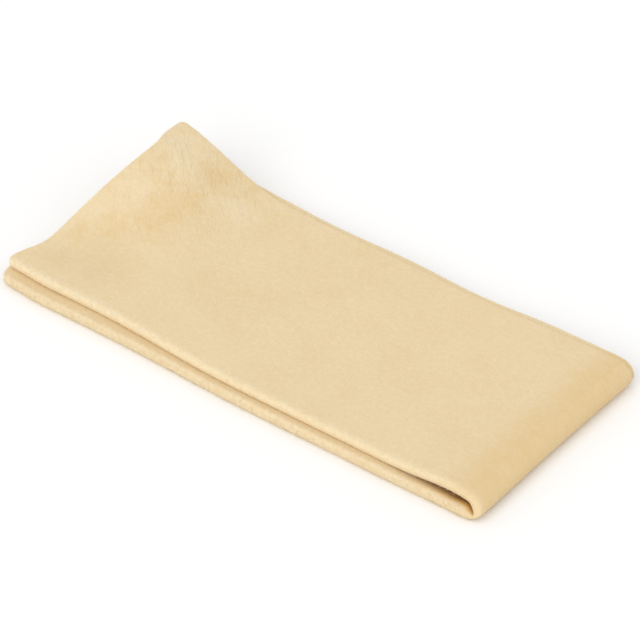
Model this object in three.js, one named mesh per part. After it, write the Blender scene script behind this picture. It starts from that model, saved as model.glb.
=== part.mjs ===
// A chamois leather: one thin hide folded twice along its length and once across it, in millimetres.
// +X runs along the pad to the end fold, +Y to the back, +Z up. It lies on z = 0.
import * as THREE from "three";

// The folded pad
const PAD_LENGTH = 250;
const PAD_WIDTH = 114;
const FRONT_STEP = 2.6;
const UPPER_SHORT = 3.4;
const TOE = 5;
const TOE_WIDTH = 24;
const CORNER_RADIUS = 7;
const EDGE_WAVE = 0.5;
const EDGE_WAVE_LENGTH = 134;
const FRONT_PHASE = 4.4;
const BACK_PHASE = 3.3;
const SECOND_PHASE = -0.4;

// The hide
const PLY = 0.9;
const PLY_GAP = 0.3;
const FREE_EDGE_STEP = 2.2;
const CREASE_SETBACK = 3;

// The end fold
const END_RADIUS = 6.3;
const LEAF_GAP = 0.6;
const TEARDROP_LENGTH = 90;
const CUT_CLEARANCE = 0.3;
const END_SKEW = 2;
const END_TUCK = 1.6;
const END_TUCK_LENGTH = 45;

// The curled corner of the top ply
const CURL_HEIGHT = 18.4;
const CURL_LENGTH = 65;
const CURL_WIDTH = 85;
const CURL_RISE = 70;
const CURL_DRAW_IN = 8;
const SECOND_PLY_SHARE = 0.25;

const PITCH = PLY + PLY_GAP;
const LEAF = 4 * PLY + 3 * PLY_GAP;
const REST_HEIGHT = 2 * LEAF + LEAF_GAP;
const LEFT = -PAD_LENGTH / 2;
const NOSE = PAD_LENGTH / 2 - END_RADIUS;
const FRONT = -PAD_WIDTH / 2;
const BACK = PAD_WIDTH / 2;
const OUTER_FOLD = 1.5 * PITCH;
const INNER_FOLD = 0.5 * PITCH;

const ease = (t) => {
  const s = Math.min(Math.max(t, 0), 1);
  return s * s * (3 - 2 * s);
};

const wave = (x, phase) => EDGE_WAVE * Math.sin((2 * Math.PI * x) / EDGE_WAVE_LENGTH + phase);

// The plies of one leaf are cut by a plane across the pad. Each point has its place along the hide's
// width, measured from the front fold, its depth h below the leaf's outer face, and its normal.
function crossSection(cuts) {
  const points = [];
  const ply = (name, h, forward, shares) => {
    const inOrder = forward ? shares.toReversed() : shares;
    inOrder.forEach((share) => {
      points.push({ name, share, reach: 0, h, normal: [0, forward ? -1 : 1] });
    });
  };
  const bend = (name, share, h, radius, count, turn) => {
    for (let i = 1; i < count; i += 1) {
      const angle = (Math.PI * i) / count;
      const { reach, rise, normal } = turn(Math.sin(angle), Math.cos(angle));
      points.push({ name, share, reach: radius * reach, h: h + radius * rise, normal });
    }
  };
  const half = LEAF / 2;
  ply("top", PLY / 2, true, cuts.top);
  bend("front", 0, half, OUTER_FOLD, 8, (s, c) => ({ reach: -s, rise: -c, normal: [-s, -c] }));
  ply("fourth", LEAF - PLY / 2, false, cuts.inside);
  bend("crease", 1, LEAF - PLY / 2 - INNER_FOLD, INNER_FOLD, 5, (s, c) => ({
    reach: s,
    rise: c,
    normal: [s, c],
  }));
  ply("third", PLY / 2 + 2 * PITCH, true, cuts.inside);
  bend("core", 0, half, INNER_FOLD, 5, (s, c) => ({ reach: -s, rise: c, normal: [s, -c] }));
  ply("second", PLY / 2 + PITCH, false, cuts.second);
  return points;
}

// Where a ply's back end lies, before any curl
const BACK_OF = {
  top: BACK - FREE_EDGE_STEP,
  second: BACK,
  fourth: BACK - CREASE_SETBACK,
  third: BACK - CREASE_SETBACK,
  crease: BACK - CREASE_SETBACK,
  front: BACK,
  core: BACK,
};

function across(point, x, front) {
  const start = front + LEAF / 2 + wave(x, FRONT_PHASE);
  const back = BACK_OF[point.name] + wave(x, point.name === "second" ? SECOND_PHASE : BACK_PHASE);
  return start + (back - start) * point.share + point.reach;
}

// How far the rounded corners set an end back at a distance from the front edge
function cornerInset(fromFront) {
  const short = CORNER_RADIUS - Math.min(Math.max(fromFront, 0), CORNER_RADIUS);
  return CORNER_RADIUS - Math.sqrt(CORNER_RADIUS * CORNER_RADIUS - short * short);
}

// The end fold's front corner stands out along the pad, and the front edge is tucked in towards it
const toFront = (y) => ease(0.5 - y / PAD_WIDTH);

function tucked([x, y, z]) {
  const toEnd = ease((x - NOSE) / END_TUCK_LENGTH + 1);
  return [x, y + END_TUCK * toEnd * toFront(y), z];
}

function lowerPlace(point, away, side) {
  const depth = point.h + side * point.normal[1] * PLY / 2;
  const yEnd = across(point, LEFT, FRONT);
  const end = LEFT + cornerInset(yEnd - FRONT);
  const x = NOSE - CUT_CLEARANCE - (NOSE - CUT_CLEARANCE - end) * away;
  return tucked([x, across(point, x, FRONT) + side * point.normal[0] * PLY / 2, depth]);
}

function foldPlace(point, turn, side) {
  const depth = point.h + side * point.normal[1] * PLY / 2;
  const angle = Math.PI * turn;
  const radius = END_RADIUS - depth;
  const y = across(point, NOSE, FRONT + FRONT_STEP * ease(turn)) + side * point.normal[0] * PLY / 2;
  const stretch = radius + END_SKEW * toFront(y);
  return tucked([NOSE + stretch * Math.sin(angle), y, END_RADIUS - radius * Math.cos(angle)]);
}

function upperPlace(point, away, side) {
  const depth = point.h + side * point.normal[1] * PLY / 2;
  const front = FRONT + FRONT_STEP;
  const left = LEFT + UPPER_SHORT;
  const fromFront = across(point, left, front) - front;
  const end = left + cornerInset(fromFront) - TOE * (1 - ease(fromFront / TOE_WIDTH));
  const x = NOSE - CUT_CLEARANCE - (NOSE - CUT_CLEARANCE - end) * away;
  const y = across(point, x, front) + side * point.normal[0] * PLY / 2;
  const fall = ease((NOSE - CUT_CLEARANCE - x) / TEARDROP_LENGTH);
  const outer = REST_HEIGHT + (2 * END_RADIUS - REST_HEIGHT) * (1 - fall);
  const share = { top: 1, second: SECOND_PLY_SHARE }[point.name] ?? 0;
  const fromLeft = (CURL_LENGTH - (x - left)) / CURL_RISE;
  const fromBack = (CURL_WIDTH - (BACK_OF.top - y)) / CURL_RISE;
  const curl = share * ease(fromLeft) * ease(fromBack);
  return tucked([x + CURL_DRAW_IN * curl, y, outer - depth + CURL_HEIGHT * curl]);
}

// A closed body of hide: two faces one ply apart over a grid of cross-sections, and its four cut edges
function hide(name, section, stations, place) {
  const rows = stations.length;
  const columns = section.length;
  const positions = [];
  [1, -1].forEach((side) => {
    stations.forEach((station) => {
      section.forEach((point) => positions.push(...place(point, station, side)));
    });
  });
  const at = (side, row, column) => (side * rows + row) * columns + column;
  const index = [];
  const quad = (a, b, c, d) => index.push(a, b, c, a, c, d);
  for (let r = 0; r + 1 < rows; r += 1) {
    for (let c = 0; c + 1 < columns; c += 1) {
      quad(at(0, r, c), at(0, r, c + 1), at(0, r + 1, c + 1), at(0, r + 1, c));
      quad(at(1, r, c), at(1, r + 1, c), at(1, r + 1, c + 1), at(1, r, c + 1));
    }
    quad(at(0, r, 0), at(0, r + 1, 0), at(1, r + 1, 0), at(1, r, 0));
    const last = columns - 1;
    quad(at(0, r, last), at(1, r, last), at(1, r + 1, last), at(0, r + 1, last));
  }
  for (let c = 0; c + 1 < columns; c += 1) {
    quad(at(0, 0, c), at(1, 0, c), at(1, 0, c + 1), at(0, 0, c + 1));
    const end = rows - 1;
    quad(at(0, end, c), at(0, end, c + 1), at(1, end, c + 1), at(1, end, c));
  }
  const geometry = new THREE.BufferGeometry();
  geometry.setAttribute("position", new THREE.Float32BufferAttribute(positions, 3));
  geometry.setIndex(facesOut(positions, index));
  geometry.computeVertexNormals();
  const material = new THREE.MeshStandardMaterial({ color: 0xe8d3a6, roughness: 0.95, metalness: 0 });
  const mesh = new THREE.Mesh(geometry, material);
  mesh.name = name;
  return mesh;
}

// The same triangles, turned round if they enclose a negative volume
function facesOut(positions, index) {
  const corner = (i) => new THREE.Vector3().fromArray(positions, 3 * index[i]);
  let volume = 0;
  for (let i = 0; i < index.length; i += 3) {
    volume += corner(i).dot(corner(i + 1).cross(corner(i + 2)));
  }
  return volume > 0 ? index : index.reverse();
}

const evenly = (count) => Array.from({ length: count + 1 }, (_, i) => i / count);
const nearFront = [0, 0.03, 0.08, 0.5, 1];
const ofUpper = (fromEnd) => 1 - fromEnd / (NOSE - LEFT - UPPER_SHORT);

const lowerSection = crossSection({ top: nearFront, inside: nearFront, second: nearFront });
const foldSection = crossSection({ top: [0, 1], inside: [0, 1], second: [0, 1] });
const curled = [0, 0.03, 0.08, 0.28, 0.42, 0.56, 0.7, 0.85, 1];
const upperSection = crossSection({ top: curled, inside: nearFront, second: curled });
const alongCurl = [1, 0.8, 0.6, 0.4, 0.2, 0].map((share) => ofUpper(share * CURL_LENGTH));
const alongTeardrop = [0, 0.2, 0.4, 0.6, 0.8, 1].map(
  (share) => (share * TEARDROP_LENGTH) / (NOSE - LEFT - UPPER_SHORT),
);
const flat = [alongTeardrop.at(-1), alongCurl[0]];
const alongFlat = [1, 2].map((third) => flat[0] + ((flat[1] - flat[0]) * third) / 3);

const part = new THREE.Group();
part.add(hide("lower_leaf", lowerSection, evenly(12), lowerPlace));
part.add(hide("end_fold", foldSection, evenly(12), foldPlace));
part.add(hide("upper_leaf", upperSection, [...alongTeardrop, ...alongFlat, ...alongCurl], upperPlace));

// The frame's origin is the middle of the pad's box, on the surface it lies on
const box = new THREE.Box3().setFromObject(part);
const middle = box.getCenter(new THREE.Vector3());
part.children.forEach((mesh) => mesh.geometry.translate(-middle.x, -middle.y, -box.min.z));

export default part;
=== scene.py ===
"""The looks of a folded chamois leather, in metres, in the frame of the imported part."""

import math

import bpy
import numpy as np
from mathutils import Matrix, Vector


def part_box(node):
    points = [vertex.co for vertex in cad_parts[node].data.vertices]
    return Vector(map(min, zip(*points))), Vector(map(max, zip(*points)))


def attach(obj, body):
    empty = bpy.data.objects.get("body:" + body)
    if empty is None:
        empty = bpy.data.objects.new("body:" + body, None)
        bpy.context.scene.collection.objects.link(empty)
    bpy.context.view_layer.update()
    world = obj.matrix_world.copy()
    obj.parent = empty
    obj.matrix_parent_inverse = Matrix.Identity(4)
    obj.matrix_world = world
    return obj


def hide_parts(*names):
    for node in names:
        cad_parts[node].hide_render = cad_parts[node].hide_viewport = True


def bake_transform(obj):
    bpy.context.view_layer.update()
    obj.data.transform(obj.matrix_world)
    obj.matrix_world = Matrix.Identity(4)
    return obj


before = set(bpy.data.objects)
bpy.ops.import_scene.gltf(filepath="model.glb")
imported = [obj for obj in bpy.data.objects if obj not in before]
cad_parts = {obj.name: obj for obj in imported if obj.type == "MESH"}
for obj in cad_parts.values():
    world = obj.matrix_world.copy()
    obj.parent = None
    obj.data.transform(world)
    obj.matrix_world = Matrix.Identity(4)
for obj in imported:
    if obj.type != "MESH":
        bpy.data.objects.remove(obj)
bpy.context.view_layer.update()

# The hide, folded twice along its length into four plies a leaf
PLY = 0.0009
PITCH = 0.0012
LEAF = 3 * PITCH + PLY
OUTER_FOLD = 1.5 * PITCH
INNER_FOLD = 0.5 * PITCH
ROLL_FULLNESS = 0.25
FOLD_GROWTH = 1.2
TOUCHING = 1.05 * PLY
PAD_WIDTH = 0.1123
PAD_SHIFT = -0.00015
FREE_EDGE_STEP = 0.0032
CREASE_SETBACK = 0.003
FRONT_WAVE = 0.0005
FRONT_WAVE_LENGTH = 0.134
FRONT_PHASE = 4.4
BACK_WAVE = 0.00065
BACK_WAVE_LENGTH = 0.075
BACK_PHASE = 1.03

# The end fold and the two leaves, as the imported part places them
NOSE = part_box("end_fold")[0].x
LOWER_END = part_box("lower_leaf")[0].x
UPPER_END = LOWER_END + 0.0034
REST_HEIGHT = 0.0096
UPPER_LEAF = 0.0041
NOSE_HEIGHT_BACK = 0.0121
NOSE_HEIGHT_FRONT = 0.0109
NOSE_HUMP = 0.15
NOSE_HUMP_LENGTH = 0.032
TEARDROP_BACK = 0.09
TEARDROP_FRONT = 0.048
FRONT_STEP = 0.0034
LEFT_STEP = 0.002
LEFT_STEP_FROM = -0.02
LEFT_STEP_LENGTH = 0.06
END_SKEW = 0.0018
END_CORNER = 0.0012
END_CORNER_POWER = 4
END_FLARE = 0.0009
END_FLARE_LENGTH = 0.014
END_TUCK = 0.0016
END_TUCK_LENGTH = 0.045
TOE = 0.0064
TOE_WIDTH = 0.024
CORNER_RADIUS = 0.0055
CORNER_DRAW = 0.0017
CORNER_DRAW_LENGTH = 0.026
FREE_CORNER_RADIUS = 0.0034
TIP_WIDTH = 0.012
TIP_LENGTH = 0.005
TIP_INSET = 0.0055

# The slit between the leaves
SLIT = 0.0001
SLIT_AT_NOSE = 0.0012
SLIT_WIDENS = 0.048
SLIT_PINCH = 0.7
SLIT_PINCH_LENGTH = 0.006
SLIT_HOLLOW = 0.0018
SLIT_LIP = 0.0022
SLIT_HOLLOW_REACH = 0.0035
SLIT_DROP = 0.003
BEND_THICKNESS = 0.0038
BEND_SAG = 0.14
SQUEEZE = 4.2
SQUEEZE_MIDDLE = 2.2
SQUEEZE_TURN = 2.0
LEAST_TURNING = 1e-12

# The curled corner of the top ply
CURL_HEIGHT = 0.0193
CURL_LENGTH = 0.065
CURL_WIDTH = 0.085
CURL_RISE = 0.07
CURL_DRAW_IN = 0.008
CURL_FLARE = 0.0018
CURL_FLARE_LENGTH = 0.022
SECOND_PLY_SHARE = 0.25

# How loosely the leather lies: the heights of its waves in metres, and how close they are in radians a metre
SWELL = 0.00028
SWELL_LONG = (47, 61)
SWELL_SHORT = (103, -71)
SWELL_PHASES = (1.1, 0.4, 2.0)
SWELL_LONG_SHARE = 0.65
STAGGER = 0.0011
STAGGER_LONG = 31
STAGGER_SHORT = 83
STAGGER_LONG_SHARE = 0.6
LOWER_STAGGER_PHASE = 0.7
UPPER_STAGGER_PHASE = 2.9

# Painted shade: how the outer face is browned where shade falls deep in the end fold and along the slit
PAINTED_SHADE_FROM = 0.001
PAINTED_SHADE_FADE = 0.0022
PAINTED_SHADE_LENGTH = 0.045
PAINTED_SHADE_FALL_OFF = 1.5
PAINTED_SHADE_MOUTH = 0.022
PAINTED_SHADE_DEEP = 0.3
PAINTED_SHADE_ALONG = 0.1
PAINTED_SHADE_ALONG_WIDTH = 0.006

# The loose fibres on the hide's rolls and cut edges
ROLL_REACH = 0.0024
ROLL_OFFSET = -0.0006
ROLL_FADE = 0.0016
ROLL_SMOOTHED = 0.55
SMOOTHED_FROM = -0.1
SMOOTHED_LENGTH = 0.15
EDGE_REACH = 0.0008
PLIES_OFF_FLOOR = 0.6
LOWER_FIBRES = 6.0e6
UPPER_FIBRES = 1.5e6
FIBRE_LENGTH = 0.0009
FIBRE_LENGTH_SHARES = (0.45, 1.3)
FIBRE_RADIUS = 0.00006
FIBRE_LEAN = 0.9
FIBRE_CURVE = 0.55

# How finely the hide is drawn, with the rows at a cut edge in half plies from it
MESH_STEP = 0.0026
ROLL_STEPS = 20
FOLD_STEPS = 10
EDGE_ROWS = (0, 0.04, 0.15, 0.4, 1, 2, 3.3, 5)
EDGE_ROWS_CLEAR = 1.3
BEND_ROWS = 49
BEND_FIRST_ROW = 0.03
SEAM_ROW = 0.012
MEETING = 1e-9
SHARP_ANGLE = math.radians(60)

FRONT = PAD_SHIFT - PAD_WIDTH / 2
BACK = PAD_SHIFT + PAD_WIDTH / 2
TOP_PLY_END = BACK - FREE_EDGE_STEP

# Where each ply ends at the back, and its shares of the back's waviness and of the corner's curl
PLIES = {
    "top": (TOP_PLY_END, 0.6, 1.0),
    "second": (BACK, 1.0, SECOND_PLY_SHARE),
    "inside": (BACK - CREASE_SETBACK, 0.3, 0.0),
}


def ease(t):
    s = np.clip(t, 0, 1)
    return s * s * (3 - 2 * s)


def front_stray(x):
    """How far the front roll lies behind a straight line: it waves, and draws in at its left end."""
    drawn = CORNER_DRAW * (1 - ease((x - LOWER_END) / CORNER_DRAW_LENGTH))
    return FRONT_WAVE * np.sin(2 * math.pi * x / FRONT_WAVE_LENGTH + FRONT_PHASE) + drawn


def back_wave(x):
    return BACK_WAVE * np.sin(2 * math.pi * x / BACK_WAVE_LENGTH + BACK_PHASE)


def back_flare(x):
    """How far the back edges stand out where they turn round the end fold."""
    return END_FLARE * ease((x - NOSE) / END_FLARE_LENGTH + 1)


def spaced(length, start_round=False, end_round=False):
    """Distances along a strip, about a step apart, and closer where an end is rounded off."""
    near = PLY / 2 * np.array(EDGE_ROWS)
    clear = EDGE_ROWS_CLEAR * near[-1]
    inner = np.linspace(0, length, round(length / MESH_STEP) + 1)
    ends = []
    if start_round:
        inner = inner[inner > clear]
        ends.append(near)
    if end_round:
        inner = inner[inner < length - clear]
        ends.append(length - near)
    return np.sort(np.concatenate([inner, *ends]))


class Section:
    """One leaf cut across: the hide's path from the top ply's free edge to the second ply's.

    A point has its share of the way from the front fold to its ply's back end, what a fold adds
    to that, and its depth below the leaf's outer face.
    """

    def __init__(self):
        self.kind, self.share, self.reach, self.depth = [], [], [], []
        width = PAD_WIDTH - LEAF / 2
        half = LEAF / 2
        free = spaced(width, start_round=True) / width
        shut = spaced(width) / width
        self.run("top", 1 - free, PLY / 2)
        self.turn(0, half, OUTER_FOLD, ROLL_STEPS, side=-1, first=-1, fullness=ROLL_FULLNESS)
        self.run("inside", shut, LEAF - PLY / 2)
        self.turn(1, LEAF - PLY / 2 - INNER_FOLD, INNER_FOLD, FOLD_STEPS, side=1, first=1)
        self.run("inside", 1 - shut, PLY / 2 + 2 * PITCH)
        self.turn(0, half, INNER_FOLD, FOLD_STEPS, side=-1, first=1)
        self.run("second", 1 - free[::-1], PLY / 2 + PITCH)
        self.share = np.array(self.share)
        self.reach = np.array(self.reach)
        self.depth = np.array(self.depth)
        self.ends, self.sway, self.lift = np.array([PLIES[kind] for kind in self.kind]).T

        past_roll = len(free) + ROLL_STEPS - 1
        past_crease = past_roll + len(shut) + FOLD_STEPS // 2
        self.fold_reach = self.reach.copy()
        self.fold_reach[len(free) : past_roll] = 0
        steps = np.hypot(np.diff(self.across(0.0, FRONT)), np.diff(self.depth))
        self.path = np.concatenate([[0], np.cumsum(steps)])
        self.roll = self.path[len(free) + ROLL_STEPS // 2 - 1]
        self.from_free = np.minimum(self.path, self.path[-1] - self.path)
        self.inner = np.arange(len(self.path)) >= past_crease

    def run(self, kind, shares, depth):
        for share in shares:
            self.add(kind, share, 0.0, depth)

    def turn(self, share, middle, radius, steps, side, first, fullness=1):
        """Half a turn of the hide, whose second half may stand out more than a circle's."""
        for i in range(1, steps):
            angle = math.pi * i / steps
            out = math.sin(angle) ** (fullness if 2 * i > steps else 1)
            self.add("inside", share, side * radius * out, middle + first * radius * math.cos(angle))

    def add(self, kind, share, reach, depth):
        self.kind.append(kind)
        self.share.append(share)
        self.reach.append(reach)
        self.depth.append(depth)

    def across(self, x, front):
        start = front + LEAF / 2 + front_stray(x)
        back = self.ends + self.sway * back_wave(x) + back_flare(x)
        return start + (back - start) * self.share + self.reach


def to_front(y):
    return ease(0.5 - y / PAD_WIDTH)


def tucked(x, y, z):
    """The place with the pad's front edge drawn in towards the end fold."""
    to_end = ease((x - NOSE) / END_TUCK_LENGTH + 1)
    return np.stack([x, y + END_TUCK * to_end * to_front(y), z], axis=-1)


def corner_inset(from_side, radius):
    short = radius - np.clip(from_side, 0, radius)
    return radius - np.sqrt(radius**2 - short**2)


def cut_end(section, at, front, phase):
    """Where the plies end at the left, and how much each belongs to the rounded tip of the front roll."""
    from_front = section.across(at, front) - front - front_stray(at)
    long = STAGGER_LONG_SHARE * np.sin(section.path * STAGGER_LONG + phase)
    short = (1 - STAGGER_LONG_SHARE) * np.sin(section.path * STAGGER_SHORT + 2 * phase)
    stray = STAGGER * (1 + long + short)
    tip = 1 - ease(from_front / TIP_WIDTH)
    front_corner = corner_inset(from_front, CORNER_RADIUS) + TIP_INSET * tip * section.inner
    return at + front_corner + corner_inset(section.from_free, FREE_CORNER_RADIUS) + stray, tip


def closing(section, x, end, tip):
    """How far the outer plies draw together over the inner ones into the roll's rounded tip."""
    short = 1 - np.clip((x - end) / TIP_LENGTH, 0, 1)
    return tip * ~section.inner * (1 - np.sqrt(1 - short**2))


def swell(x, y):
    """The slow rise and fall of leather that isn't pressed flat."""
    long = np.sin(x * SWELL_LONG[0] + SWELL_PHASES[0]) * np.sin(y * SWELL_LONG[1] + SWELL_PHASES[1])
    short = np.sin(x * SWELL_SHORT[0] + y * SWELL_SHORT[1] + SWELL_PHASES[2])
    return SWELL * (SWELL_LONG_SHARE * long + (1 - SWELL_LONG_SHARE) * short)


def front_step(x):
    """How far the upper leaf's front edge lies behind the lower one's."""
    return FRONT_STEP + LEFT_STEP * ease((LEFT_STEP_FROM - x) / LEFT_STEP_LENGTH)


def top_height(x, y):
    """The height of the upper leaf's outer face, which rises to the end fold and droops over it."""
    away = np.maximum(NOSE - x, 0)
    length = TEARDROP_BACK + (TEARDROP_FRONT - TEARDROP_BACK) * to_front(y)
    at_nose = NOSE_HEIGHT_BACK + (NOSE_HEIGHT_FRONT - NOSE_HEIGHT_BACK) * to_front(y)
    hump = NOSE_HUMP * away * (1 - np.minimum(away / NOSE_HUMP_LENGTH, 1)) ** 2
    settled = ease(away / TEARDROP_BACK)
    risen = REST_HEIGHT + (at_nose - REST_HEIGHT) * (1 - ease(away / length))
    return risen + hump + swell(x, y) * settled


def lower_thickness(x, y):
    """The lower leaf fills the room under the upper one, apart from a slit that widens to the end fold."""
    widening = 1 - ease((NOSE - x) / SLIT_WIDENS)
    mouth = SLIT_AT_NOSE * (1 - SLIT_PINCH * (1 - ease((NOSE - x) / SLIT_PINCH_LENGTH)))
    behind_lip = ease((y - FRONT - SLIT_LIP) / SLIT_HOLLOW_REACH)
    slit = SLIT + (mouth - SLIT + SLIT_HOLLOW * behind_lip) * widening
    return top_height(x, y) - UPPER_LEAF - slit


def loosened(section, thickness, drawn=0.0):
    """The plies' depths where a leaf is that thick, and drawn together that far, up to touching."""
    depth = PLY / 2 + (section.depth - PLY / 2) * (thickness - PLY) / (LEAF - PLY)
    room = 1 - TOUCHING / (thickness - PLY)
    return depth + (thickness / 2 - depth) * drawn * room


def fold_growth(section, thickness):
    """How much further the inner folds reach in a leaf that thick, so that they stay round."""
    return section.fold_reach * (np.minimum((thickness - PLY) / (LEAF - PLY), FOLD_GROWTH) - 1)


def lower_place(section, away):
    end, tip = cut_end(section, LOWER_END, FRONT, LOWER_STAGGER_PHASE)
    x = NOSE - (NOSE - end) * away
    y = section.across(x, FRONT)
    thickness = lower_thickness(x, y)
    y = y + fold_growth(section, thickness)
    return tucked(x, y, loosened(section, thickness, closing(section, x, end, tip)))


def bend_plies(section, turn):
    """The plies round the end fold, and the line across them from the outer face to the inner one."""
    angle = math.pi * turn
    outer_turn = turn - BEND_SAG * np.sin(angle)
    outer_angle = math.pi * outer_turn
    y = section.across(NOSE, FRONT + front_step(NOSE) * ease(outer_turn))
    height = top_height(NOSE, y)
    below = lower_thickness(NOSE, y)
    above = height - UPPER_LEAF
    reach = height / 2 + END_SKEW * to_front(y) + END_CORNER * to_front(y) ** END_CORNER_POWER
    outer_x = reach * np.sin(outer_angle)
    outer_z = height / 2 * (1 - np.cos(outer_angle) - NOSE_HUMP * np.sin(outer_angle) * ease(outer_turn))
    inner_x = np.maximum(reach - BEND_THICKNESS, PLY / 2) * np.sin(angle)
    inner_z = (above + below) / 2 - (above - below) / 2 * np.cos(angle) - SLIT_DROP * np.sin(angle) ** 2
    thickness = np.hypot(inner_x - outer_x, inner_z - outer_z)
    share = loosened(section, thickness) / thickness
    x = NOSE + outer_x + (inner_x - outer_x) * share
    z = outer_z + (inner_z - outer_z) * share
    return x, y + fold_growth(section, thickness), z, inner_x - outer_x, inner_z - outer_z


def bend_place(section, turn):
    return tucked(*bend_plies(section, turn)[:3])


def bend_room(section, turn):
    """How thick the squeezed hide can be round the end fold.

    Four plies share the room across the bend, and a ply that turns tightly is thinner still.
    """
    x, _, z, over_x, over_z = bend_plies(section, turn)
    step = turn[:, 0]
    along_x = np.gradient(x, step, axis=0)
    along_z = np.gradient(z, step, axis=0)
    speed = np.hypot(along_x, along_z)
    across = np.abs(along_x * over_z - along_z * over_x) / speed
    shared = across / (SQUEEZE + SQUEEZE_MIDDLE * np.sin(math.pi * turn))
    veer_x = np.gradient(along_x, step, axis=0)
    veer_z = np.gradient(along_z, step, axis=0)
    turning = np.abs(along_x * veer_z - along_z * veer_x)
    return np.minimum(shared, 2 * speed**3 / np.maximum(turning, LEAST_TURNING) / SQUEEZE_TURN)


def upper_place(section, away):
    front = FRONT + front_step(UPPER_END)
    end, tip = cut_end(section, UPPER_END, front, UPPER_STAGGER_PHASE)
    end = end - TOE * (1 - ease((section.across(UPPER_END, front) - front) / TOE_WIDTH))
    end = end - CURL_FLARE * ease(2 * (1 - section.path / CURL_FLARE_LENGTH))
    x = NOSE - (NOSE - end) * away
    y = section.across(x, FRONT + front_step(x))
    from_left = (CURL_LENGTH - (x - UPPER_END)) / CURL_RISE
    from_back = (CURL_WIDTH - (TOP_PLY_END - y)) / CURL_RISE
    curl = section.lift * ease(from_left) * ease(from_back)
    depth = loosened(section, UPPER_LEAF, closing(section, x, end, tip))
    z = top_height(x, y) - depth + CURL_HEIGHT * curl
    return tucked(x + CURL_DRAW_IN * curl, y + fold_growth(section, UPPER_LEAF), z)


def hide_faces(middle, from_edge, room):
    """The points of two faces a ply apart, and their numbers over the grid, the same where the faces meet."""
    normal = np.cross(np.gradient(middle, axis=0), np.gradient(middle, axis=1))
    normal /= np.linalg.norm(normal, axis=2, keepdims=True)
    short = 1 - np.clip(from_edge / (PLY / 2), 0, 1)
    half = (np.minimum(room, PLY) / 2 * np.sqrt(1 - short**2))[..., None]
    first = np.arange(from_edge.size).reshape(from_edge.shape)
    second = first + from_edge.size
    meet = from_edge < MEETING
    second[meet] = first[meet]
    offset = normal * half
    return np.concatenate([(middle + offset).reshape(-1, 3), (middle - offset).reshape(-1, 3)]), first, second


def hide_polygons(first, second, far_end_cut):
    """The two faces in quads, and a strip between them along each end where the hide goes on."""
    polygons = []
    for grid, order in ((first, (0, 1, 2, 3)), (second, (0, 3, 2, 1))):
        corners = [grid[:-1, :-1], grid[1:, :-1], grid[1:, 1:], grid[:-1, 1:]]
        polygons += np.stack([corners[i].ravel() for i in order], axis=1).tolist()
    rows, columns = first.shape
    for row in (0,) if far_end_cut else (0, rows - 1):
        for c in range(columns - 1):
            ring = [first[row, c], first[row, c + 1], second[row, c + 1], second[row, c]]
            ring = ring if row == 0 else ring[::-1]
            polygons.append([int(i) for k, i in enumerate(ring) if i not in ring[:k]])
    return polygons


def fuzz_of(section, middle, from_edge, smoothed):
    """How fuzzy the outer and the inner face are: both at cut edges, and the outer one on its front roll."""
    off_floor = ease(middle[..., 2] / PLY - PLIES_OFF_FLOOR)
    edge = off_floor * (1 - np.clip(from_edge / EDGE_REACH, 0, 1))
    from_roll = np.abs(section.path - section.roll - ROLL_OFFSET)
    roll = 1 - ease((from_roll - ROLL_REACH) / ROLL_FADE)
    roll = roll * (1 - smoothed * ease((middle[..., 0] - SMOOTHED_FROM) / SMOOTHED_LENGTH))
    return np.maximum(edge, off_floor * roll), edge


def painted_slit_shade_of(section, middle):
    """How much painted shade the outer face gets, deep in the end fold and along the slit; the inner face
    gets none.
    """
    past_roll = section.path - section.roll - PAINTED_SHADE_FROM
    to_slit = ease(past_roll / PAINTED_SHADE_FADE)
    to_nose = (1 - ease((NOSE - middle[..., 0]) / PAINTED_SHADE_LENGTH)) ** PAINTED_SHADE_FALL_OFF
    along_slit = PAINTED_SHADE_ALONG * (1 - ease(past_roll / PAINTED_SHADE_ALONG_WIDTH - 1))
    at_mouth = PAINTED_SHADE_DEEP + (1 - PAINTED_SHADE_DEEP) * (1 - ease(past_roll / PAINTED_SHADE_MOUTH))
    outer = to_slit * np.maximum(to_nose * at_mouth, along_slit)
    return outer, np.zeros_like(outer)


def face_layer(mesh, name, faces, used):
    """A value at each point, given for the first and the second face."""
    values = np.concatenate([face.ravel() for face in faces])[used]
    layer = mesh.attributes.new(name, "FLOAT", "POINT")
    layer.data.foreach_set("value", values.astype(np.float32))


def flat_layer(mesh, along, across, used):
    """Each point's place on the flat hide, in metres, as the UV map that the suede is drawn on."""
    face = np.stack([np.repeat(along, len(across)), np.tile(across, len(along))], axis=1)
    flat = np.concatenate([face, face])[used]
    loops = np.zeros(len(mesh.loops), np.int32)
    mesh.loops.foreach_get("vertex_index", loops)
    layer = mesh.uv_layers.new(name="hide")
    layer.data.foreach_set("uv", flat[loops].astype(np.float32).ravel())


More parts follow.
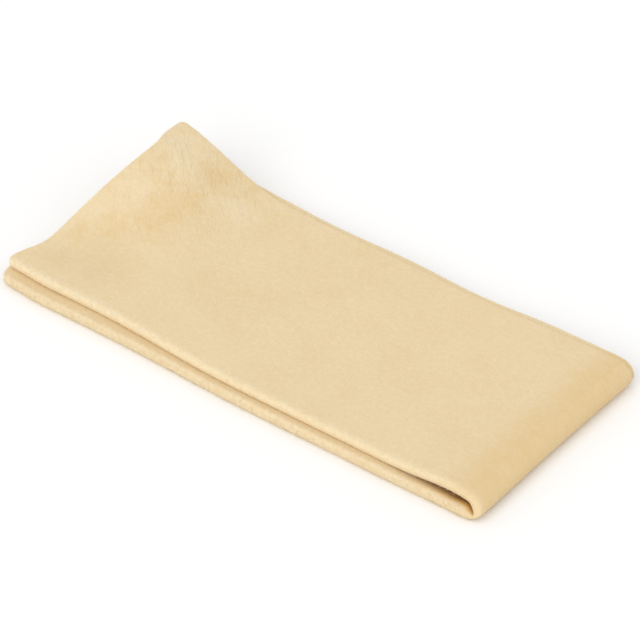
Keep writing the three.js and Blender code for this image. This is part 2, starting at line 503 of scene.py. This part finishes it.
def leather_mesh(name, place, section, stations, hide_run, outer_first, smoothed, far_end_cut, room=PLY):
    """One stretch of hide as a closed sheet: two faces a ply apart that meet at the cut edges."""
    middle = place(section, stations[:, None])
    hide_from, hide_to = hide_run
    from_edge = section.from_free + np.zeros((len(stations), 1))
    if far_end_cut:
        run = stations * abs(hide_to - hide_from)
        from_edge = np.minimum(from_edge, (run[-1] - run)[:, None])

    points, first, second = hide_faces(middle, from_edge, room)
    used = np.unique(np.concatenate([first.ravel(), second.ravel()]))
    number = np.zeros(len(points), int)
    number[used] = np.arange(len(used))
    polygons = [number[polygon].tolist() for polygon in hide_polygons(first, second, far_end_cut)]
    mesh = bpy.data.meshes.new(name)
    mesh.from_pydata(points[used].tolist(), [], polygons)
    mesh.polygons.foreach_set("use_smooth", np.ones(len(polygons), bool))
    mesh.set_sharp_from_angle(angle=SHARP_ANGLE)

    order = 1 if outer_first else -1
    face_layer(mesh, "fuzz", fuzz_of(section, middle, from_edge, smoothed)[::order], used)
    # The outer face gets painted shade in the end fold's hollow and along the slit.
    face_layer(mesh, "painted_slit_shade", painted_slit_shade_of(section, middle)[::order], used)
    flat_layer(mesh, hide_from + (hide_to - hide_from) * stations, section.path, used)
    mesh.update()
    mesh.validate()
    obj = bpy.data.objects.new(name, mesh)
    bpy.context.scene.collection.objects.link(obj)
    return obj


LEAF_LENGTH = NOSE - LOWER_END
BEND_LENGTH = math.pi * (NOSE_HEIGHT_BACK / 2 - PLY / 2)
HIDE_END = BEND_LENGTH + LEAF_LENGTH
section = Section()
along_leaf = spaced(LEAF_LENGTH, end_round=True) / LEAF_LENGTH
bend_rows = np.linspace(BEND_FIRST_ROW, 1 - BEND_FIRST_ROW, BEND_ROWS)
around_bend = np.concatenate([[0, SEAM_ROW], bend_rows, [1 - SEAM_ROW, 1]])

lower_hide = leather_mesh(
    "lower_hide",
    lower_place,
    section,
    along_leaf,
    hide_run=(0, -LEAF_LENGTH),
    outer_first=False,
    smoothed=0,
    far_end_cut=True,
)
bend_hide = leather_mesh(
    "bend_hide",
    bend_place,
    section,
    around_bend,
    hide_run=(0, BEND_LENGTH),
    outer_first=True,
    smoothed=ROLL_SMOOTHED,
    far_end_cut=False,
    room=bend_room(section, around_bend[:, None]),
)
upper_hide = leather_mesh(
    "upper_hide",
    upper_place,
    section,
    along_leaf,
    hide_run=(BEND_LENGTH, HIDE_END),
    outer_first=True,
    smoothed=ROLL_SMOOTHED,
    far_end_cut=True,
)


def put(tree, socket, value):
    if isinstance(value, bpy.types.NodeSocket):
        tree.links.new(value, socket)
    else:
        socket.default_value = value


def node(tree, kind, inputs=None, **settings):
    made = tree.nodes.new(kind)
    for key, value in settings.items():
        setattr(made, key, value)
    for key, value in (inputs or {}).items():
        put(tree, made.inputs[key], value)
    return made


def noise(tree, place, scale, detail, roughness=0.5, distortion=0.0):
    inputs = {
        "Vector": place,
        "Scale": scale,
        "Detail": detail,
        "Roughness": roughness,
        "Distortion": distortion,
    }
    return node(tree, "ShaderNodeTexNoise", inputs).outputs["Fac"]


def math_node(tree, operation, a, b):
    return node(tree, "ShaderNodeMath", {0: a, 1: b}, operation=operation).outputs[0]


def times(tree, a, b):
    return math_node(tree, "MULTIPLY", a, b)


def larger(tree, a, b):
    return math_node(tree, "MAXIMUM", a, b)


def vector_math(tree, operation, *vectors):
    return node(tree, "ShaderNodeVectorMath", dict(enumerate(vectors)), operation=operation)


def mapped(tree, value, given, made, **settings):
    """A value moved from the given range to the made one."""
    inputs = {
        "Value": value,
        "From Min": given[0],
        "From Max": given[1],
        "To Min": made[0],
        "To Max": made[1],
    }
    return node(tree, "ShaderNodeMapRange", inputs, **settings).outputs["Result"]


def smoothly(tree, value, given, made):
    return mapped(tree, value, given, made, interpolation_type="SMOOTHSTEP")


def weighed(tree, first, share, second):
    """A mix of two values, the first with that share."""
    return math_node(tree, "ADD", times(tree, first, share), times(tree, second, 1 - share))


def mixed(tree, factor, a, b):
    made = node(tree, "ShaderNodeMix", data_type="RGBA")
    for socket, value in zip((made.inputs[0], made.inputs[6], made.inputs[7]), (factor, a, b)):
        put(tree, socket, value)
    return made.outputs[2]


def attribute(tree, name):
    return node(tree, "ShaderNodeAttribute", attribute_name=name).outputs["Fac"]


# How the suede's streaks lie on the hide
STREAK_ANGLE = math.radians(-51)
STREAK_STRETCH = 2.8


def suede_group():
    """Mottling, streaks and nap of suede over a place in metres."""
    tree = bpy.data.node_groups.new("suede", "ShaderNodeTree")
    tree.interface.new_socket("Place", in_out="INPUT", socket_type="NodeSocketVector")
    for name in ("Mottle", "Speckle", "Streak", "Nap"):
        tree.interface.new_socket(name, in_out="OUTPUT", socket_type="NodeSocketFloat")
    place = node(tree, "NodeGroupInput").outputs["Place"]
    along = node(
        tree,
        "ShaderNodeMapping",
        {"Vector": place, "Rotation": (0, 0, STREAK_ANGLE), "Scale": (STREAK_STRETCH, 1, 1)},
        vector_type="TEXTURE",
    ).outputs["Vector"]
    cloudy = noise(tree, place, scale=38, detail=2, distortion=0.5)
    blotchy = noise(tree, place, scale=150, detail=3, roughness=0.6, distortion=0.3)
    grainy = noise(tree, place, scale=420, detail=2, roughness=0.6, distortion=0.3)
    dusty = noise(tree, place, scale=1300, detail=2, roughness=0.6)
    streaky = noise(tree, along, scale=300, detail=3, roughness=0.6, distortion=0.9)
    velvety = noise(tree, place, scale=1900, detail=2, roughness=0.6)
    pebbly = noise(tree, place, scale=520, detail=2, distortion=0.3)
    made = {
        "Mottle": mapped(tree, weighed(tree, cloudy, 0.65, blotchy), (0.36, 0.66), (0, 1)),
        "Speckle": mapped(tree, weighed(tree, grainy, 0.5, dusty), (0.34, 0.66), (0, 1)),
        "Streak": mapped(tree, streaky, (0.32, 0.68), (0, 1)),
        "Nap": weighed(tree, velvety, 0.5, pebbly),
    }
    node(tree, "NodeGroupOutput", made)
    return tree


SUEDE = suede_group()

CREAM = (0.80, 0.641, 0.40, 1)
TAN = (0.75, 0.558, 0.298, 1)
DULL = (0.755, 0.595, 0.358, 1)
PALE = (0.84, 0.715, 0.51, 1)
NAP_ROOT = (0.785, 0.63, 0.395, 1)
NAP_TIP = (0.88, 0.765, 0.55, 1)
# The dark brown below is painted shade, laid where shade falls in the slit and inside the end fold.
SHADE_BROWN = (0.50, 0.24, 0.03, 1)

# How strongly each colour covers what is under it
TAN_SHARE = 0.85
PALE_SHARE = 0.5
DULL_SHARE = 0.9
NAP_SHARE = 0.75
# The dark brown's share is that of the painted shade in the slit.
SHADE_BROWN_SHARE = 0.85
SUEDE_SHEEN = 0.03

# How far the end fold's tan reaches into each leaf, and over what distance from its corner handling fades
TANNED_BELOW = 0.010
TANNED_ABOVE = 0.018
HANDLED = (0.03, 0.10)

# Tan, dull and pale places around the raised corner, partly the hide's own mottling and partly painted light
# and shade of the curl's slopes: along and across the hide, and half sizes, in metres
TAN_PATCHES = [
    (0.228, 0.014, 0.009, 0.010),
    (0.227, 0.029, 0.008, 0.010),
    (0.230, 0.044, 0.009, 0.010),
    (0.232, 0.056, 0.010, 0.009),
    (0.242, 0.064, 0.008, 0.008),
    (0.251, 0.074, 0.007, 0.007),
]
DULL_PATCHES = [
    (0.238, 0.078, 0.012, 0.010),
    (0.246, 0.090, 0.012, 0.012),
    (0.230, 0.088, 0.014, 0.012),
]
PALE_PATCHES = [
    (0.249, 0.044, 0.009, 0.008),
    (0.249, 0.012, 0.008, 0.008),
    (0.243, 0.023, 0.007, 0.006),
    (0.212, 0.020, 0.012, 0.008),
]
PATCH_FADE = (0.1, 1.6)
PATCH_WANDER = 0.018


def strayed(tree, place):
    """The place moved about by noise, so that what is drawn there has no clean outline."""
    wander = node(tree, "ShaderNodeTexNoise", {"Vector": place, "Scale": 110, "Detail": 2})
    offset = vector_math(tree, "SUBTRACT", wander.outputs["Color"], (0.5, 0.5, 0.5))
    wide = (PATCH_WANDER, PATCH_WANDER, 0)
    return vector_math(tree, "MULTIPLY_ADD", offset.outputs[0], wide, place).outputs[0]


def patch_mask(tree, place, patches, share):
    """Soft-edged patches of a surface, as a mask of at most that share."""
    mask = 0.0
    for along, across, half_length, half_width in patches:
        near = node(
            tree,
            "ShaderNodeMapping",
            {"Vector": place, "Location": (along, across, 0), "Scale": (half_length, half_width, 1)},
            vector_type="TEXTURE",
        )
        away = vector_math(tree, "LENGTH", near.outputs["Vector"]).outputs["Value"]
        mask = larger(tree, smoothly(tree, away, PATCH_FADE, (1, 0)), mask)
    return times(tree, mask, share)


def suede_colour(tree, place, suede, worked):
    """Cream leather with mottling, a tan end fold, and tan, dull and pale patches at the raised corner that
    are partly painted light and shade.
    """
    along = node(tree, "ShaderNodeSeparateXYZ", {"Vector": place}).outputs["X"]
    before = smoothly(tree, along, (-TANNED_BELOW, 0), (0, 1))
    after = smoothly(tree, along, (BEND_LENGTH, BEND_LENGTH + TANNED_ABOVE), (1, 0))
    folded = times(tree, before, after)
    mottle = weighed(tree, suede["Mottle"], 0.7, suede["Streak"])
    strength = mapped(tree, worked, (0, 1), (0.22, 0.55))
    spot = strayed(tree, place)
    tan_and_painted_shade = times(tree, mapped(tree, mottle, (0.5, 0.8), (0, 1)), strength)
    # The corner patches are partly the hide's mottling and partly painted light and shade of the curl's
    # slopes.
    tan_and_painted_shade = larger(tree, tan_and_painted_shade, larger(tree, folded, patch_mask(tree, spot, TAN_PATCHES, TAN_SHARE)))
    pale_and_painted_light = times(tree, mapped(tree, mottle, (0.5, 0.2), (0, 0.7)), strength)
    pale_and_painted_light = larger(tree, pale_and_painted_light, patch_mask(tree, spot, PALE_PATCHES, PALE_SHARE))
    colour = mixed(tree, tan_and_painted_shade, CREAM, TAN)
    colour = mixed(tree, patch_mask(tree, spot, DULL_PATCHES, DULL_SHARE), colour, DULL)
    colour = mixed(tree, pale_and_painted_light, colour, PALE)
    colour = mixed(tree, mapped(tree, suede["Speckle"], (0, 1), (0.25, 0)), colour, TAN)
    fleck = mapped(tree, suede["Speckle"], (0.5, 1), (0, 1))
    return mixed(tree, times(tree, fleck, mapped(tree, folded, (0, 1), (0.4, 0.15))), colour, PALE)


def napped_colour(tree, suede):
    return mixed(tree, suede["Speckle"], NAP_ROOT, NAP_TIP)


def shaded(tree, colour):
    """The colour, with painted shade: browner where shade falls deep in the end fold and along the slit."""
    return mixed(tree, times(tree, attribute(tree, "painted_slit_shade"), SHADE_BROWN_SHARE), colour, SHADE_BROWN)


def new_material(name):
    material = bpy.data.materials.new(name)
    material.use_nodes = True
    return material, material.node_tree, material.node_tree.nodes["Principled BSDF"]


def hide_material():
    material, tree, shader = new_material("chamois_suede")
    place = node(tree, "ShaderNodeUVMap", uv_map="hide").outputs["UV"]
    suede = node(tree, "ShaderNodeGroup", {"Place": place}, node_tree=SUEDE).outputs
    from_corner = vector_math(tree, "SUBTRACT", place, (HIDE_END, 0, 0)).outputs[0]
    reach = vector_math(tree, "LENGTH", from_corner).outputs["Value"]
    worked = smoothly(tree, reach, HANDLED, (1, 0))

    colour = suede_colour(tree, place, suede, worked)
    fuzz = times(tree, attribute(tree, "fuzz"), NAP_SHARE)
    colour = mixed(tree, fuzz, colour, napped_colour(tree, suede))
    # The base colour carries the painted shade of the slit and the end fold.
    put(tree, shader.inputs["Base Color"], shaded(tree, colour))
    put(tree, shader.inputs["Roughness"], mapped(tree, suede["Speckle"], (0, 1), (0.86, 0.98)))
    put(tree, shader.inputs["Specular IOR Level"], SUEDE_SHEEN)

    creased = times(tree, suede["Streak"], math_node(tree, "ADD", 0.15, worked))
    height = math_node(tree, "ADD", suede["Nap"], times(tree, creased, 0.75))
    bump = node(tree, "ShaderNodeBump", {"Strength": 0.7, "Distance": 0.0006, "Height": height})
    put(tree, shader.inputs["Normal"], bump.outputs["Normal"])
    return material


def nap_material():
    material, tree, shader = new_material("chamois_nap")
    place = node(tree, "ShaderNodeTexCoord").outputs["Object"]
    suede = node(tree, "ShaderNodeGroup", {"Place": place}, node_tree=SUEDE).outputs
    # The fibres carry the same painted shade.
    put(tree, shader.inputs["Base Color"], shaded(tree, napped_colour(tree, suede)))
    put(tree, shader.inputs["Roughness"], mapped(tree, suede["Mottle"], (0, 1), (0.8, 0.95)))
    put(tree, shader.inputs["Specular IOR Level"], SUEDE_SHEEN)
    return material


chamois_suede = hide_material()
chamois_nap = nap_material()
for piece in (lower_hide, bend_hide, upper_hide):
    piece.data.materials.append(chamois_suede)


def position(tree):
    here = node(tree, "GeometryNodeInputPosition").outputs[0]
    return node(tree, "ShaderNodeSeparateXYZ", {0: here}).outputs


def bent_fibre(tree, given):
    """One tapered fibre that bends aside towards its tip."""
    cone = {
        "Vertices": 3,
        "Side Segments": 2,
        "Radius Top": 0.0,
        "Radius Bottom": given["Root radius"],
        "Depth": given["Length"],
    }
    strand = node(tree, "GeometryNodeMeshCone", cone, fill_type="NONE").outputs["Mesh"]
    rise = position(tree)["Z"]
    squared = math_node(tree, "DIVIDE", times(tree, rise, rise), given["Length"])
    aside = node(tree, "ShaderNodeCombineXYZ", {"X": times(tree, squared, FIBRE_CURVE)}).outputs["Vector"]
    return node(tree, "GeometryNodeSetPosition", {"Geometry": strand, "Offset": aside}).outputs["Geometry"]


def fibre_stance(tree, given, upright):
    """A fibre's rotation: upright on the hide, then turned about and leaned over at random."""
    back = node(tree, "ShaderNodeCombineXYZ", {"X": times(tree, given["Lean"], -1), "Z": -math.pi})
    forward = node(tree, "ShaderNodeCombineXYZ", {"X": given["Lean"], "Z": math.pi})
    turned = node(
        tree,
        "FunctionNodeRandomValue",
        {0: back.outputs["Vector"], 1: forward.outputs["Vector"], "Seed": given["Seed"]},
        data_type="FLOAT_VECTOR",
    )
    lean = node(tree, "FunctionNodeEulerToRotation", {"Euler": turned.outputs[0]})
    stance = {"Rotation": upright, "Rotate By": lean.outputs["Rotation"]}
    return node(tree, "FunctionNodeRotateRotation", stance, rotation_space="LOCAL").outputs["Rotation"]


def kept_above_floor(tree, geometry):
    spot = position(tree)
    above = {"X": spot["X"], "Y": spot["Y"], "Z": larger(tree, spot["Z"], 0.0)}
    pressed = node(tree, "ShaderNodeCombineXYZ", above).outputs["Vector"]
    lying = node(tree, "GeometryNodeSetPosition", {"Geometry": geometry, "Position": pressed})
    return lying.outputs["Geometry"]


NAP_INPUTS = {
    "Hide": "NodeSocketGeometry",
    "Fibres per square metre": "NodeSocketFloat",
    "Length": "NodeSocketFloat",
    "Root radius": "NodeSocketFloat",
    "Lean": "NodeSocketFloat",
    "Seed": "NodeSocketInt",
    "Finish": "NodeSocketMaterial",
}


def nap_tree():
    """Bent, tapered fibres that stand at random on a hide where its fuzz is high."""
    tree = bpy.data.node_groups.new("nap_fibres", "GeometryNodeTree")
    for name, kind in NAP_INPUTS.items():
        tree.interface.new_socket(name, in_out="INPUT", socket_type=kind)
    tree.interface.new_socket("Fibres", in_out="OUTPUT", socket_type="NodeSocketGeometry")
    given = node(tree, "NodeGroupInput").outputs

    fuzz = node(tree, "GeometryNodeInputNamedAttribute", {"Name": "fuzz"}, data_type="FLOAT")
    density = times(tree, fuzz.outputs["Attribute"], given["Fibres per square metre"])
    roots = node(
        tree,
        "GeometryNodeDistributePointsOnFaces",
        {"Mesh": given["Hide"], "Density": density, "Seed": given["Seed"]},
        distribute_method="RANDOM",
    ).outputs
    shortest, longest = FIBRE_LENGTH_SHARES
    length = node(
        tree,
        "FunctionNodeRandomValue",
        {2: shortest, 3: longest, "Seed": given["Seed"]},
        data_type="FLOAT",
    )
    standing = node(
        tree,
        "GeometryNodeInstanceOnPoints",
        {
            "Points": roots["Points"],
            "Instance": bent_fibre(tree, given),
            "Rotation": fibre_stance(tree, given, roots["Rotation"]),
            "Scale": length.outputs[1],
        },
    )
    real = node(tree, "GeometryNodeRealizeInstances", {"Geometry": standing.outputs["Instances"]})
    lying = kept_above_floor(tree, real.outputs["Geometry"])
    finished = node(tree, "GeometryNodeSetMaterial", {"Geometry": lying, "Material": given["Finish"]})
    node(tree, "NodeGroupOutput", {"Fibres": finished.outputs["Geometry"]})
    return tree


NAP = nap_tree()


def nap_on(hide, name, seed, per_square_metre):
    """The fibres of one stretch of hide, as a plain mesh of their own."""
    grower = bpy.data.objects.new(name + "_grower", hide.data)
    bpy.context.scene.collection.objects.link(grower)
    modifier = grower.modifiers.new("nap", "NODES")
    modifier.node_group = NAP
    values = {
        "Fibres per square metre": per_square_metre,
        "Length": FIBRE_LENGTH,
        "Root radius": FIBRE_RADIUS,
        "Lean": FIBRE_LEAN,
        "Seed": seed,
        "Finish": chamois_nap,
    }
    for item in NAP.interface.items_tree:
        if item.in_out == "INPUT" and item.name in values:
            modifier[item.identifier] = values[item.name]
    graph = bpy.context.evaluated_depsgraph_get()
    mesh = bpy.data.meshes.new_from_object(grower.evaluated_get(graph))
    grower.modifiers.remove(modifier)
    bpy.data.objects.remove(grower)
    mesh.name = name
    fibres = bpy.data.objects.new(name, mesh)
    bpy.context.scene.collection.objects.link(fibres)
    return fibres


lower_nap = nap_on(lower_hide, "lower_nap", 3, LOWER_FIBRES)
bend_nap = nap_on(bend_hide, "bend_nap", 5, UPPER_FIBRES)
upper_nap = nap_on(upper_hide, "upper_nap", 7, UPPER_FIBRES)

for piece in (lower_hide, lower_nap):
    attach(piece, "lower")
for piece in (upper_hide, upper_nap):
    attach(piece, "upper")
for piece in (bend_hide, bend_nap):
    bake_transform(piece)
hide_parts("lower_leaf")
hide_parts("end_fold")
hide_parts("upper_leaf")

FLOOR_HALF = 6.0
FLOOR_HEIGHT = -0.0001
FLOOR_WHITE = (0.97, 0.97, 0.97, 1)
FLOOR_ROUGHNESS = 0.9


def floor_plane():
    mesh = bpy.data.meshes.new("floor")
    signs = ((-1, -1), (1, -1), (1, 1), (-1, 1))
    corners = [(x * FLOOR_HALF, y * FLOOR_HALF, FLOOR_HEIGHT) for x, y in signs]
    mesh.from_pydata(corners, [], [(0, 1, 2, 3)])
    floor = bpy.data.objects.new("floor", mesh)
    bpy.context.scene.collection.objects.link(floor)
    material, _, shader = new_material("floor_white")
    shader.inputs["Base Color"].default_value = FLOOR_WHITE
    shader.inputs["Roughness"].default_value = FLOOR_ROUGHNESS
    mesh.materials.append(material)


floor_plane()

LIGHT_COLOUR = (1.0, 0.995, 0.98)
WORLD_STRENGTH = 0.82


def studio_light(name, towards, strength, spread):
    """A broad, even light from one side of the studio."""
    data = bpy.data.lights.new(name, "SUN")
    data.energy = strength
    data.angle = spread
    data.color = LIGHT_COLOUR
    light = bpy.data.objects.new(name, data)
    light.rotation_euler = Vector(towards).to_track_quat("-Z", "Y").to_euler()
    bpy.context.scene.collection.objects.link(light)


studio_light("key", towards=(-0.15, 0.8, -0.9), strength=0.9, spread=1.0)
studio_light("low_fill", towards=(-0.15, 1.0, -0.33), strength=0.22, spread=0.6)

world = bpy.data.worlds.new("studio")
bpy.context.scene.world = world
world.use_nodes = True
background = world.node_tree.nodes["Background"]
background.inputs["Color"].default_value = (1.0, 1.0, 1.0, 1)
background.inputs["Strength"].default_value = WORLD_STRENGTH
bpy.context.scene.view_settings.view_transform = "Standard"

# The camera at the photograph's angle, for a square picture
AZIMUTH = math.radians(38.637)
ELEVATION = math.radians(38.355)
DISTANCE = 1.9641
SHIFT_RIGHT = 0.00249
SHIFT_UP = 0.00626
PIXELS_PER_METRE = 2409.0
PICTURE = 640
SENSOR = 36
backwards = Vector((
    math.sin(AZIMUTH) * math.cos(ELEVATION),
    -math.cos(AZIMUTH) * math.cos(ELEVATION),
    math.sin(ELEVATION),
))
right = Vector((math.cos(AZIMUTH), math.sin(AZIMUTH), 0))
up = backwards.cross(right)
camera = bpy.data.objects.new("camera", bpy.data.cameras.new("camera"))
bpy.context.scene.collection.objects.link(camera)
camera.data.sensor_width = SENSOR
camera.data.lens = SENSOR * PIXELS_PER_METRE * DISTANCE / PICTURE
camera.location = backwards * DISTANCE + right * SHIFT_RIGHT + up * SHIFT_UP
camera.rotation_euler = (-backwards).to_track_quat("-Z", "Y").to_euler()
camera.data.clip_start = 0.05
camera.data.clip_end = 50
bpy.context.scene.camera = camera
